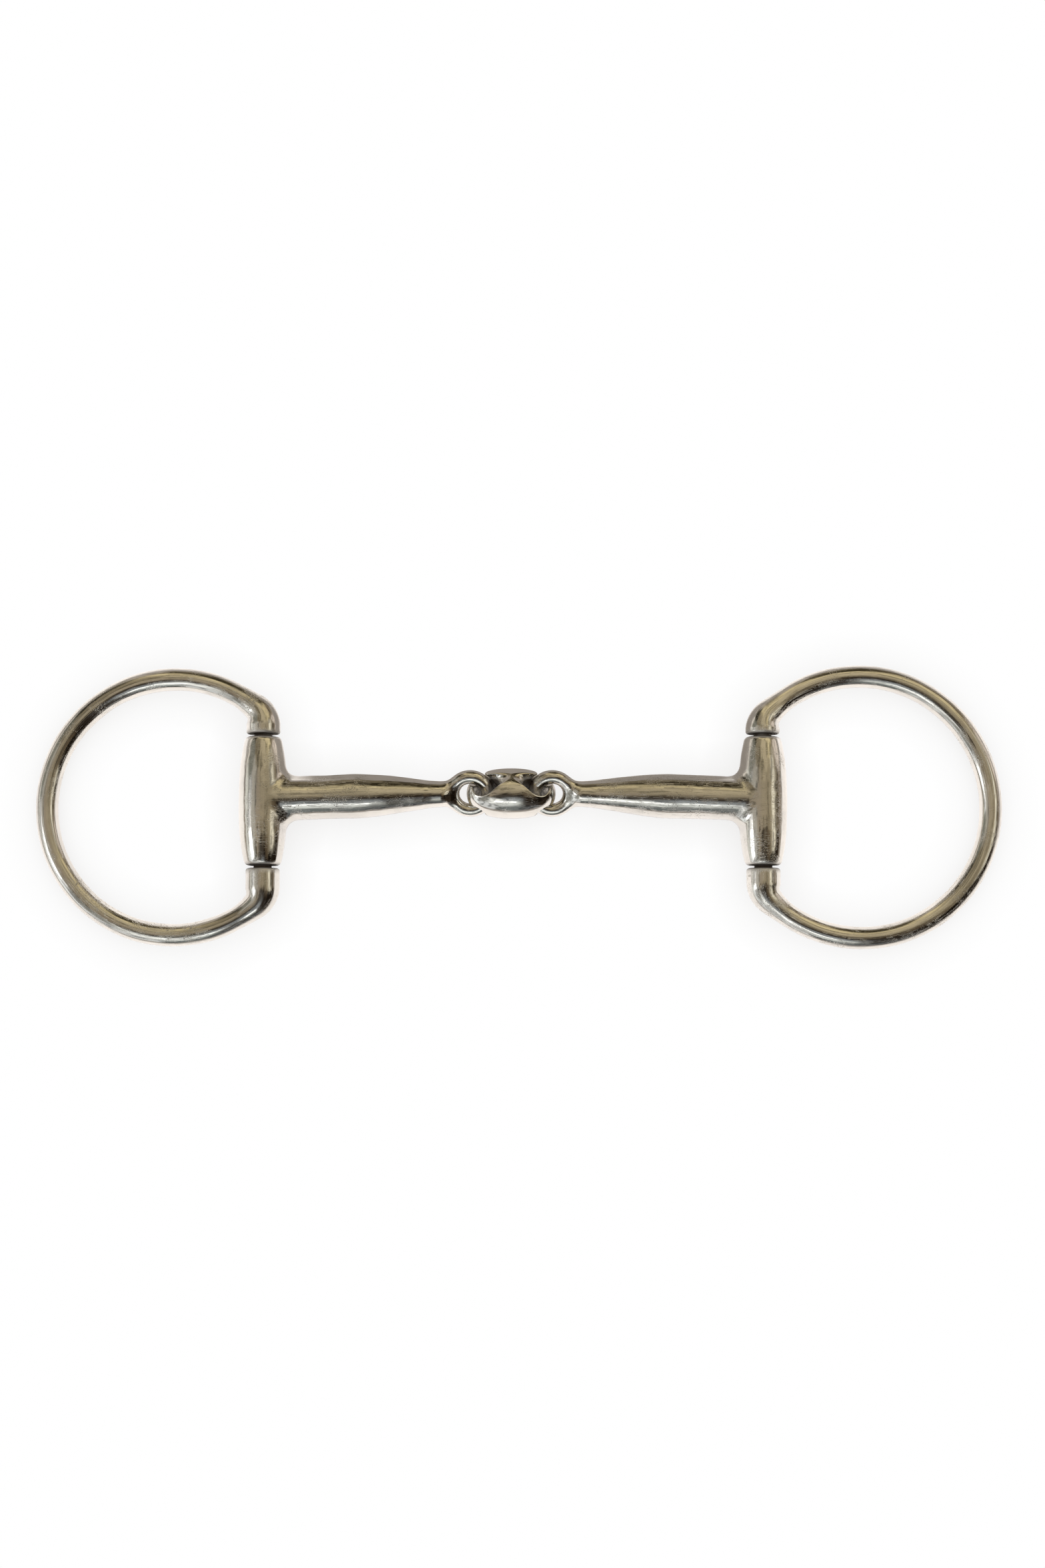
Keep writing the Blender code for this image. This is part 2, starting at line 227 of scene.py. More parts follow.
def lozenge_field(points, _half):
    """The olive link, with two flared holes and room for the eyes to swing."""
    y = points[:, 1] - MIDDLE[1]
    z = points[:, 2] - MIDDLE[2]
    x = np.abs(points[:, 0] - MIDDLE[0])
    rho = np.hypot(y, z)
    power = OLIVE_POWER
    ends = (x / OLIVE_HALF) ** (power - 1)
    sides = (rho / OLIVE_RADIUS) ** (power - 1)
    total = np.maximum(ends * x / OLIVE_HALF + sides * rho / OLIVE_RADIUS, 1e-6)
    steep = total ** (1 / power - 1) * np.hypot(ends / OLIVE_HALF, sides / OLIVE_RADIUS)
    body = (total ** (1 / power) - 1) / np.maximum(steep, 0.03)
    body += LOZENGE_SWELL[0] * waves(points, LOZENGE_SWELL[1], 3)

    # Each hole is an oval that leans, and as it rises it turns and widens to the middle.
    through = y * math.cos(HOLE_TILT) + z * math.sin(HOLE_TILT)
    rise = np.tanh(through / HOLE_MIDDLE)
    across = y * math.sin(HOLE_TILT) - z * math.cos(HOLE_TILT) - HOLE_SHIFT * rise
    beyond = x - HOLE_SPACING + HOLE_LOWER_SHIFT * (1 - rise)
    turn = HOLE_TURN * rise
    share = np.clip(np.abs(through) / OLIVE_RADIUS, 0, 1) ** HOLE_POWER
    fit = 1 - HOLE_LOWER_SHRINK * (1 - rise)
    long = (HOLE_LONG[0] + (HOLE_LONG[1] - HOLE_LONG[0]) * share) * fit
    short = (HOLE_SHORT[0] + (HOLE_SHORT[1] - HOLE_SHORT[0]) * share) * fit
    slope = (HOLE_LONG[1] - HOLE_LONG[0]) * HOLE_POWER * share / OLIVE_RADIUS
    u = beyond * np.cos(turn) - across * np.sin(turn)
    v = beyond * np.sin(turn) + across * np.cos(turn)
    size = np.hypot(u / long, v / short)
    steep = np.hypot(u / long ** 2, v / short ** 2)
    inward = np.where(u < 0, slope * np.abs(u) / np.maximum(np.hypot(u, v), 0.1), 0.0)
    hole = (size - 1) * np.maximum(size, 0.05) / np.maximum(steep, 0.02)
    hole /= np.sqrt(1 + inward ** 2)

    # The room is what the eye's wire sweeps through as it swings about its end bar.
    hinge_x = np.where(points[:, 0] < MIDDLE[0], LEFT.hinge[0], RIGHT.hinge[0])
    out = x - np.abs(hinge_x - MIDDLE[0])
    along = y * math.cos(EYE_TILT) + z * math.sin(EYE_TILT)
    normal = -y * math.sin(EYE_TILT) + z * math.cos(EYE_TILT)
    swing = np.arctan2(normal, out)
    rest = swing - np.clip(swing, -EYE_SWING, EYE_SWING)
    arm = np.hypot(normal, out)
    radial = np.hypot(arm * np.cos(rest) - EYE_RADIUS, along) - EYE_RADIUS
    room = np.hypot(radial, arm * np.sin(rest)) - EYE_WIRE - EYE_CLEARANCE
    return soft_max(body, -soft_min(hole, room, HOLE_FILLET), HOLE_ROUNDING)


# --------------------------------------------------------------------- meshes


def surface_net(field, half, low, high, step):
    """Vertices and four-sided faces of the surface where field is zero."""
    axes = [np.arange(low[i], high[i] + step, step) for i in range(3)]
    shape = tuple(len(axis) for axis in axes)
    grid = np.empty(shape)

    # The field is sampled on a grid, a slab at a time.
    plane = np.stack(np.meshgrid(axes[1], axes[2], indexing="ij"), -1).reshape(-1, 2)
    slab = max(1, 400000 // len(plane))
    for first in range(0, shape[0], slab):
        xs = axes[0][first:first + slab]
        along = np.repeat(xs, len(plane))[:, None]
        block = np.concatenate([along, np.tile(plane, (len(xs), 1))], 1)
        grid[first:first + slab] = field(block, half).reshape((len(xs),) + shape[1:])

    # Each cell that the surface crosses gets a vertex amid its crossings.
    inside = grid < 0
    corners = [(i, j, k) for i in (0, 1) for j in (0, 1) for k in (0, 1)]
    cells = tuple(n - 1 for n in shape)

    def corner(array, c):
        return array[c[0]:c[0] + cells[0], c[1]:c[1] + cells[1], c[2]:c[2] + cells[2]]

    filled = sum(corner(inside, c).astype(np.int8) for c in corners)
    active = np.argwhere((filled > 0) & (filled < 8))
    number = np.full(cells, -1)
    number[tuple(active.T)] = np.arange(len(active))

    total = np.zeros((len(active), 3))
    count = np.zeros(len(active))
    for a in corners:
        for axis in range(3):
            if a[axis]:
                continue
            b = list(a)
            b[axis] = 1
            va = grid[tuple((active + a).T)]
            vb = grid[tuple((active + b).T)]
            crossing = (va < 0) != (vb < 0)
            gap = np.where(crossing, va - vb, 1.0)
            where = np.array(a, float) + np.zeros((len(active), 3))
            where[:, axis] += va / gap
            total += where * crossing[:, None]
            count += crossing
    points = np.array(low) + (active + total / count[:, None]) * step

    # A few Newton steps bring the vertices onto the surface itself.
    nudge = 0.02
    for _ in range(3):
        value = field(points, half)
        slope = np.empty_like(points)
        for axis in range(3):
            shift = np.zeros(3)
            shift[axis] = nudge
            slope[:, axis] = field(points + shift, half) - field(points - shift, half)
        slope /= 2 * nudge
        move = slope * (value / np.maximum((slope ** 2).sum(1), 0.05))[:, None]
        size = np.linalg.norm(move, axis=1, keepdims=True)
        points -= move * np.minimum(1, 0.5 * step / np.maximum(size, 1e-9))

    # Each grid edge that the surface crosses gets a face between its four cells.
    faces = []
    for axis in range(3):
        u, v = (axis + 1) % 3, (axis + 2) % 3
        here = [slice(1, None)] * 3
        there = [slice(1, None)] * 3
        here[axis] = slice(0, -1)
        a = inside[tuple(here)]
        b = inside[tuple(there)]
        for sign, mask in ((1, a & ~b), (-1, b & ~a)):
            cell = np.argwhere(mask)
            cell[:, u] += 1
            cell[:, v] += 1
            step_u = np.eye(3, dtype=int)[u]
            step_v = np.eye(3, dtype=int)[v]
            ok = (cell[:, u] < shape[u] - 1) & (cell[:, v] < shape[v] - 1)
            cell = cell[ok]
            quad = [cell - step_u - step_v, cell - step_v, cell, cell - step_u]
            quad = np.stack([number[tuple(q.T)] for q in quad], 1)
            faces.append(quad if sign > 0 else quad[:, ::-1])
    return points, np.concatenate(faces)


def make_piece(name, points, faces):
    """A smooth mesh object from points in millimetres."""
    mesh = bpy.data.meshes.new(name)
    mesh.from_pydata((points * MM).tolist(), [], faces)
    mesh.shade_smooth()
    obj = bpy.data.objects.new(name, mesh)
    bpy.context.scene.collection.objects.link(obj)
    return obj


def net_piece(name, node, field, half, step):
    low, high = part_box(node)
    low = np.array(low) / MM - 3 * step
    high = np.array(high) / MM + 3 * step
    points, faces = surface_net(field, half, low, high, step)
    return make_piece(name, points, faces.tolist())


def ring_line(half, steps_per_mm):
    """The ring's centre line as (out, up, heading, radius), from one pin to the other."""
    face = BARREL_HALF + FACE_GAP
    circle = half.ring_radius - BAR_RADIUS
    offset = half.pivot[1]
    distance = circle - HORN_BEND
    bend = math.acos((half.ring_reach - HORN_BEND) / distance)
    rise = distance * math.sin(bend)
    pin_end = BARREL_HALF - PIN_LENGTH

    def bar_radius(arc):
        """Radius of the horn and bar at a distance along it from the start of the bend."""
        part = np.clip(arc / HORN_TAPER, 0, 1)
        ease = part * part * (3 - 2 * part)
        return HORN_RADIUS + (BAR_RADIUS - HORN_RADIUS) * ease ** HORN_EASE

    def horn(sign):
        rows = [(pin_end, PIN_RADIUS - PIN_CHAMFER), (pin_end + PIN_CHAMFER, PIN_RADIUS),
                (face - 0.3, PIN_RADIUS), (face, PIN_RADIUS + 0.3)]
        for i in range(9):
            angle = math.pi / 2 * i / 8
            rows.append((face + HORN_LIP * (1 - math.cos(angle)),
                         HORN_RADIUS - HORN_LIP + HORN_LIP * math.sin(angle)))
        top = abs(sign * rise - offset)
        for i in range(1, 6):
            rows.append((face + HORN_LIP + (top - face - HORN_LIP) * i / 5, HORN_RADIUS))
        stations = [(0.0, sign * up, 0.0, radius) for up, radius in rows]
        count = max(4, int(bend * HORN_BEND * steps_per_mm))
        for i in range(1, count + 1):
            angle = bend * i / count
            out = HORN_BEND * (1 - math.cos(angle))
            up = sign * (rise + HORN_BEND * math.sin(angle)) - offset
            stations.append((out, up, sign * angle, bar_radius(HORN_BEND * angle)))
        return stations

    arc = 2 * (math.pi - bend)
    count = int(arc * circle * steps_per_mm)
    bar = []
    for i in range(1, count):
        angle = (math.pi - bend) - arc * i / count
        from_end = circle * (math.pi - bend - abs(angle)) + HORN_BEND * bend
        bar.append((half.ring_reach + circle * math.cos(angle), circle * math.sin(angle) - offset,
                    math.pi - angle, bar_radius(from_end)))
    return horn(1) + bar + horn(-1)[::-1]


def ring_piece(name, half):
    """A ring, a round bar swept along its centre line and drooping to the floor.

    It stores "lie", its own coordinates as if the bar were straight.
    """
    side = half.side
    sides = 48
    far_side = half.ring_reach + half.ring_radius - BAR_RADIUS
    droop = math.asin((half.pivot[2] - BAR_RADIUS) / far_side)
    points = []
    straight = []
    arc = 0.0
    before = None
    for out, up, heading, radius in ring_line(half, 1.6):
        turn = np.arange(sides) * 2 * math.pi / sides
        lean = radius * np.cos(turn)
        arc += 0.0 if before is None else math.dist(before, (out, up))
        before = (out, up)
        straight.append(np.stack([np.full(sides, arc), lean, radius * np.sin(turn)], 1))
        x = out + math.cos(heading) * lean
        y = up - math.sin(heading) * lean
        z = radius * np.sin(turn)
        flat_x = x * math.cos(droop) + z * math.sin(droop)
        flat_z = -x * math.sin(droop) + z * math.cos(droop)
        points.append(half.pivot + np.stack([side * flat_x, y, flat_z], 1))
    rows = len(points)
    points = np.concatenate(points)
    middle = points - half.pivot
    off_pin = np.clip((np.abs(middle[:, 1]) + np.abs(middle[:, 0]) - 22) / 3, 0, 1)
    (high, long), (low, short) = RING_SWELLS
    swell = high * waves(points, long, 11 + side) + low * waves(points, short, 21 + side)
    swell *= off_pin
    centre = points.reshape(rows, sides, 3).mean(1, keepdims=True)
    away = points.reshape(rows, sides, 3) - centre
    away /= np.maximum(np.linalg.norm(away, axis=2, keepdims=True), 1e-9)
    points = (points.reshape(rows, sides, 3) + away * swell.reshape(rows, sides, 1)).reshape(-1, 3)
    faces = []
    for row in range(rows - 1):
        for i in range(sides):
            j = (i + 1) % sides
            quad = [row * sides + i, row * sides + j, (row + 1) * sides + j, (row + 1) * sides + i]
            faces.append(quad if side < 0 else quad[::-1])
    caps = [list(range(sides)), list(range((rows - 1) * sides, rows * sides))]
    faces.append(caps[0][::-1] if side < 0 else caps[0])
    faces.append(caps[1] if side < 0 else caps[1][::-1])
    ring = make_piece(name, points, faces)
    layer = ring.data.attributes.new("lie", "FLOAT_VECTOR", "POINT")
    layer.data.foreach_set("vector", (np.concatenate(straight) * MM).astype(np.float32).ravel())
    return ring


# ------------------------------------------------------------------ materials


class Nodes:
    """Short calls that add nodes to a material or a world."""

    def __init__(self, tree):
        self.tree = tree

    def add(self, kind, **values):
        node = self.tree.nodes.new(kind)
        for key, value in values.items():
            setattr(node, key, value)
        return node

    def link(self, source, target):
        self.tree.links.new(source, target)

    def put(self, socket, value):
        if isinstance(value, bpy.types.NodeSocket):
            self.link(value, socket)
        else:
            socket.default_value = value

    def math(self, operation, a, b=None, clamp=False):
        node = self.add("ShaderNodeMath", operation=operation, use_clamp=clamp)
        self.put(node.inputs[0], a)
        if b is not None:
            self.put(node.inputs[1], b)
        return node.outputs[0]

    def remap(self, value, low, high, to_low=0.0, to_high=1.0):
        node = self.add("ShaderNodeMapRange", interpolation_type="SMOOTHSTEP")
        self.put(node.inputs["Value"], value)
        self.put(node.inputs["From Min"], low)
        self.put(node.inputs["From Max"], high)
        self.put(node.inputs["To Min"], to_low)
        self.put(node.inputs["To Max"], to_high)
        return node.outputs["Result"]

    def mix(self, factor, a, b):
        node = self.add("ShaderNodeMix", data_type="RGBA")
        self.put(node.inputs["Factor"], factor)
        self.put(node.inputs["A"], a)
        self.put(node.inputs["B"], b)
        return node.outputs["Result"]

    def mapped(self, vector, scale=(1, 1, 1), turn=(0, 0, 0)):
        node = self.add("ShaderNodeMapping")
        self.link(vector, node.inputs["Vector"])
        node.inputs["Scale"].default_value = scale
        node.inputs["Rotation"].default_value = [math.radians(a) for a in turn]
        return node.outputs["Vector"]

    def noise(self, vector, scale, detail=2.0, rough=0.5, output="Fac"):
        node = self.add("ShaderNodeTexNoise")
        self.link(vector, node.inputs["Vector"])
        node.inputs["Scale"].default_value = scale
        node.inputs["Detail"].default_value = detail
        node.inputs["Roughness"].default_value = rough
        return node.outputs[output]


PIT_COLOUR = (0.25, 0.22, 0.18, 1.0)
# Near-black for dirt at the seams and painted shade in the recesses between parts.
DIRT_AND_SHADE_COLOUR = (0.040, 0.028, 0.019, 1.0)


def hairlines(n, place, turn, stretch, density, width):
    """Thin lines along one direction: level lines of a noise drawn out lengthways."""
    vector = n.mapped(place, scale=(stretch, 1.0, 1.0), turn=turn)
    value = n.noise(vector, density, detail=1.0)
    line = n.math("ABSOLUTE", n.math("SUBTRACT", value, 0.5))
    return n.remap(line, width, 0.0)


def speckles(n, place, density, size, spread):
    """Small round marks, crowded where spread is high and missing where it is low."""
    cells = n.add("ShaderNodeTexVoronoi", feature="F1")
    n.link(place, cells.inputs["Vector"])
    cells.inputs["Scale"].default_value = density
    radius = n.math("MULTIPLY", spread, size)
    return n.remap(n.math("SUBTRACT", cells.outputs["Distance"], radius), 0.08, -0.16)


def steel(name, tint, shine, wear, scratch_turns, straightened=False):
    """Polished stainless steel with hairline scratches, pits, smears, and dirt
    and painted shade at the seams and in the recesses.

    Shine is the roughness where it is cleanest, and wear scales every mark.  The
    scratches of a straightened piece follow its bend.
    """
    material = bpy.data.materials.new(name)
    material.use_nodes = True
    n = Nodes(material.node_tree)
    shader = material.node_tree.nodes["Principled BSDF"]
    place = n.add("ShaderNodeTexCoord").outputs["Object"]
    lie = place
    if straightened:
        lie = n.add("ShaderNodeAttribute", attribute_name="lie").outputs["Vector"]

    smear = n.noise(place, 55.0, detail=3.0, rough=0.6)
    cloud = n.noise(place, 170.0, detail=4.0, rough=0.65)
    patch = n.remap(n.noise(place, 42.0, detail=3.0, rough=0.6), 0.44, 0.60)

    lines = None
    for i, turn in enumerate(scratch_turns):
        layer = hairlines(n, lie, turn, 0.018, 1300.0 + 420.0 * i, 0.010)
        broken = n.remap(n.noise(place, 260.0 + 110.0 * i, detail=2.0), 0.46, 0.55)
        layer = n.math("MULTIPLY", layer, broken)
        lines = layer if lines is None else n.math("MAXIMUM", lines, layer)
    lines = n.math("MULTIPLY", lines, n.remap(patch, 0.0, 1.0, 0.25, 1.0))

    worn = n.math("MULTIPLY", patch, n.remap(cloud, 0.42, 0.66))
    pit = speckles(n, place, 1700.0, 0.40, worn)
    dot = speckles(n, place, 2900.0, 0.36, n.remap(cloud, 0.46, 0.72))
    marks = n.math("MAXIMUM", pit, dot)

    # Dirt at the seams and painted shade in the recesses: it darkens the colour, dulls the metal
    # and roughens it.
    dirt_and_shade = n.add("ShaderNodeAttribute", attribute_name="dirt_and_shade").outputs["Fac"]
    dirt_and_shade = n.math("MULTIPLY", dirt_and_shade, n.remap(cloud, 0.25, 0.60, 0.72, 1.0), clamp=True)

    dull = tuple(c * 0.86 for c in tint) + (1.0,)
    colour = n.mix(n.remap(smear, 0.35, 0.70), (*tint, 1.0), dull)
    colour = n.mix(n.math("MULTIPLY", pit, 0.18 * wear), colour, PIT_COLOUR)
    colour = n.mix(dirt_and_shade, colour, DIRT_AND_SHADE_COLOUR)
    n.link(colour, shader.inputs["Base Color"])
    n.link(n.math("SUBTRACT", 1.0, n.math("MULTIPLY", dirt_and_shade, 0.60)), shader.inputs["Metallic"])

    rough = n.remap(smear, 0.30, 0.75, shine, shine + 0.06)
    rough = n.math("ADD", rough, n.math("MULTIPLY", lines, 0.16 * wear))
    rough = n.math("ADD", rough, n.math("MULTIPLY", marks, 0.24 * wear))
    rough = n.math("ADD", rough, n.math("MULTIPLY", worn, 0.10 * wear))
    rough = n.math("ADD", rough, n.math("MULTIPLY", dirt_and_shade, 0.35), clamp=True)
    n.link(rough, shader.inputs["Roughness"])

    height = n.math("MULTIPLY", lines, -1.0)
    height = n.math("ADD", height, n.math("MULTIPLY", marks, -1.3))
    fine = n.add("ShaderNodeBump")
    fine.inputs["Strength"].default_value = 0.34 * wear
    fine.inputs["Distance"].default_value = 0.00005
    n.link(height, fine.inputs["Height"])
    wide = n.add("ShaderNodeBump")
    wide.inputs["Strength"].default_value = 0.35
    wide.inputs["Distance"].default_value = 0.00010
    n.link(n.noise(place, 190.0, detail=5.0, rough=0.55), wide.inputs["Height"])
    n.link(wide.outputs["Normal"], fine.inputs["Normal"])
    n.link(fine.outputs["Normal"], shader.inputs["Normal"])
    return material


def paint_dirt_and_shade(obj, distance_to_seam, reach):
    """Store how much dirt and painted shade each vertex gets, from its distance to a seam or
    recess.
    """
    count = len(obj.data.vertices)
    places = np.empty(count * 3, np.float32)
    obj.data.vertices.foreach_get("co", places)
    distance = distance_to_seam(places.reshape(-1, 3).astype(float) / MM)
    amount = np.clip(1 - distance / reach, 0, 1) ** 1.5
    layer = obj.data.attributes.new("dirt_and_shade", "FLOAT", "POINT")
    layer.data.foreach_set("value", amount.astype(np.float32))


def seam_distance(points):
    """How far each point is from the seams between a barrel and its ring."""
    far = 9.0
    pin_edge = 4.3
    nearest = np.full(len(points), far)
    for half in (LEFT, RIGHT):
        reach = np.hypot(points[:, 0] - half.pivot[0], points[:, 2] - half.pivot[2])
        up = np.abs(points[:, 1] - half.pivot[1])
        near = np.maximum(np.abs(up - BARREL_HALF - FACE_GAP / 2) - FACE_GAP / 2, 0)
        inside = np.where(reach < pin_edge, 0.0, (reach - pin_edge) * 1.4)
        away = np.where(up > BARREL_HALF + FACE_GAP + 3, far, np.hypot(near, inside))
        nearest = np.minimum(nearest, away)
    return nearest


def link_distance(points):
    """How far each point is from the deepest contact of an eye with the lozenge."""
    return np.minimum(np.linalg.norm(points - LEFT.hinge, axis=1),
                      np.linalg.norm(points - RIGHT.hinge, axis=1))


def hole_distance(points):
    """Like link_distance, but zero deep inside the lozenge's holes as well, where they get painted
    shade.
    """
    y = points[:, 1] - MIDDLE[1]
    z = points[:, 2] - MIDDLE[2]
    x = np.abs(points[:, 0] - MIDDLE[0])
    size = (x / OLIVE_HALF) ** 2 + (y * y + z * z) / OLIVE_RADIUS ** 2
    depth = OLIVE_RADIUS * (1 - np.sqrt(size))
    return np.minimum(link_distance(points), np.maximum(LINK_REACH - 2.4 * (depth - 0.5), 0.0))


def both_distances(points):
    return np.minimum(seam_distance(points), link_distance(points) * 0.5)


STEEL_TINT = (0.74, 0.715, 0.67)

# Steps of the surface nets in millimetres, which keep a mesh under 200,000 triangles.
COARSER = 1.0
LOZENGE_STEP = 0.132 * COARSER
CANNON_STEP = 0.234 * COARSER

lozenge = net_piece("lozenge_link", "lozenge", lozenge_field, None, LOZENGE_STEP)
# Painted shade deep in the holes, and dirt with painted shade where the eyes sit.
paint_dirt_and_shade(lozenge, hole_distance, LINK_REACH)
lozenge.data.materials.append(steel("lozenge_steel", STEEL_TINT, shine=0.05, wear=0.8,
                                    scratch_turns=((0, 0, 8), (0, 0, 65))))
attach(lozenge, "lozenge")
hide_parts("lozenge")

for half in (LEFT, RIGHT):
    node = half.name + "_cannon"
    cannon = net_piece(node + "_casting", node, cannon_field, half, CANNON_STEP)
    # Dirt and painted shade by the seams and where the eye sits in the lozenge.
    paint_dirt_and_shade(cannon, both_distances, SEAM_REACH)
    cannon.data.materials.append(steel(node + "_steel", STEEL_TINT, shine=0.06, wear=1.0,
                                       scratch_turns=((0, 0, 5), (0, 0, 83), (0, 0, -40))))
    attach(cannon, node)
    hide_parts(node)

    node = half.name + "_ring"
    ring = ring_piece(node + "_bar", half)
    # Dirt and painted shade by the seams.
    paint_dirt_and_shade(ring, seam_distance, SEAM_REACH)
    ring.data.materials.append(steel(node + "_steel", STEEL_TINT, shine=0.09, wear=1.4,
                                     scratch_turns=((0, 0, 2), (0, 4, -7), (0, 0, 24)),
                                     straightened=True))
    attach(ring, node)
    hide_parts(node)


# ------------------------------------------------------- floor, light, camera


def direction(turn, lean):
    """A direction by its turn from X and its lean from straight up, in degrees."""
    a, b = math.radians(turn), math.radians(lean)
    return Vector((math.cos(a) * math.sin(b), math.sin(a) * math.sin(b), math.cos(b)))


# Where the metal sees the floor darker, in metres, as the start and end of a soft edge:
# past the arms' far side, and beyond the bit's own reach across and along Y.
SHADE_ACROSS = (0.066, 0.056)
SHADE_ALONG = (0.010, 0.020)
BIT_REACH = (0.134, 0.042)
BEYOND_BIT = (0.004, 0.03)
CONTACT_DISTANCE = 0.012
FLOOR_DROP = 0.0002

PAPER = (0.92, 0.897, 0.91, 1.0)
PAPER_IN_SHADE = (0.12, 0.10, 0.08, 1.0)
CONTACT_SHADE = (0.80, 0.79, 0.78, 1.0)
WHITE = (1.0, 1.0, 1.0, 1.0)


def add_floor():
    """Pale paper, which the camera sees as white with a soft contact shade.

    It is clear to the camera and from below, so that a half that hangs under it still
    shows.  The metal sees it darker beyond the bit, and on the arms' shaded far side.
    """
    size = 6.0
    mesh = bpy.data.meshes.new("floor")
    mesh.from_pydata([(-size, -size, 0), (size, -size, 0), (size, size, 0), (-size, size, 0)], [],
                     [(0, 1, 2, 3)])
    floor = bpy.data.objects.new("floor", mesh)
    floor.location.z = -FLOOR_DROP
    bpy.context.scene.collection.objects.link(floor)
    material = bpy.data.materials.new("floor_paper")
    material.use_nodes = True
    n = Nodes(material.node_tree)
    shader = material.node_tree.nodes["Principled BSDF"]
    shader.inputs["Roughness"].default_value = 0.9
    shader.inputs["Specular IOR Level"].default_value = 0.0

    place = n.add("ShaderNodeTexCoord").outputs["Object"]
    wobble = n.noise(place, 22.0)
    split = n.add("ShaderNodeSeparateXYZ")
    n.link(place, split.inputs["Vector"])
    across = n.math("ABSOLUTE", split.outputs["X"])
    upward = n.math("ADD", split.outputs["Y"], n.math("MULTIPLY", wobble, 0.012))
    shade = n.math("MULTIPLY", n.remap(upward, *SHADE_ALONG), n.remap(across, *SHADE_ACROSS))
    beyond_x = n.math("MAXIMUM", n.math("SUBTRACT", across, BIT_REACH[0]), 0.0)
    beyond_y = n.math("SUBTRACT", n.math("ABSOLUTE", upward), BIT_REACH[1])
    beyond_y = n.math("MAXIMUM", beyond_y, 0.0)
    beyond = n.remap(n.math("ADD", beyond_x, beyond_y), *BEYOND_BIT, 0.0, 0.75)
    dark = n.math("MAXIMUM", n.math("MULTIPLY", shade, 0.8), beyond)
    ray = n.add("ShaderNodeLightPath").outputs
    colour = n.mix(n.math("MULTIPLY", dark, ray["Is Glossy Ray"]), PAPER, PAPER_IN_SHADE)
    n.link(colour, shader.inputs["Base Color"])

    contact = n.add("ShaderNodeAmbientOcclusion", samples=8)
    contact.inputs["Distance"].default_value = CONTACT_DISTANCE
    clear = n.add("ShaderNodeBsdfTransparent")
    n.link(n.mix(contact.outputs["AO"], CONTACT_SHADE, WHITE), clear.inputs["Color"])
    either = n.add("ShaderNodeMixShader")
    under = n.add("ShaderNodeNewGeometry").outputs["Backfacing"]
    n.link(n.math("MAXIMUM", ray["Is Camera Ray"], under), either.inputs["Fac"])
    n.link(shader.outputs["BSDF"], either.inputs[1])
    n.link(clear.outputs["BSDF"], either.inputs[2])
    n.link(either.outputs["Shader"], material.node_tree.nodes["Material Output"].inputs["Surface"])
    mesh.materials.append(material)


# The room round the bit: turn and lean in degrees, and how that part of it looks in the
# polished metal, as display values.  The tones were read off a plot of the
# photograph's colours by the direction that the metal mirrors there, then changed
# in contrast and colour.  Each is a soft patch, sharper when EDGES is higher.
ROOM = (
    (0, 0, (148, 137, 116)), (90, 22, (174, 162, 135)), (195, 26, (147, 136, 119)),
    (0, 28, (148, 137, 114)), (-30, 24, (84, 72, 57)), (-90, 13, (59, 51, 43)),
    (-62, 26, (45, 39, 34)), (-118, 24, (66, 62, 57)),
    (58, 50, (204, 189, 150)), (104, 50, (206, 191, 152)), (87, 66, (54, 48, 35)),
    (134, 66, (64, 60, 49)), (90, 84, (107, 98, 81)), (45, 76, (126, 114, 96)),
    (22, 80, (216, 204, 192)), (4, 52, (236, 229, 208)), (8, 66, (106, 95, 75)),
    (4, 86, (140, 128, 113)), (-9, 76, (36, 29, 22)), (-36, 58, (36, 30, 24)),
    (-58, 44, (47, 40, 33)), (-40, 82, (52, 45, 38)), (-92, 34, (152, 158, 162)),
    (-92, 52, (220, 225, 222)), (-118, 48, (248, 251, 249)), (-90, 76, (108, 113, 113)),
    (-66, 62, (64, 60, 56)), (-72, 84, (100, 102, 104)), (-122, 76, (209, 212, 213)),
    (-146, 52, (126, 126, 120)), (-170, 62, (253, 253, 253)), (-158, 84, (239, 244, 245)),
    (180, 42, (164, 160, 150)), (157, 66, (116, 116, 107)), (150, 86, (218, 211, 201)),
    (122, 44, (126, 116, 96)), (114, 84, (163, 154, 141)), (184, 84, (219, 219, 212)),
)
EDGES = 90.0

# How much of the room's brightness the steel gives back, and how far its patches bend.
STEEL_SHOWS = 0.76
ROOM_WOBBLE = 0.30


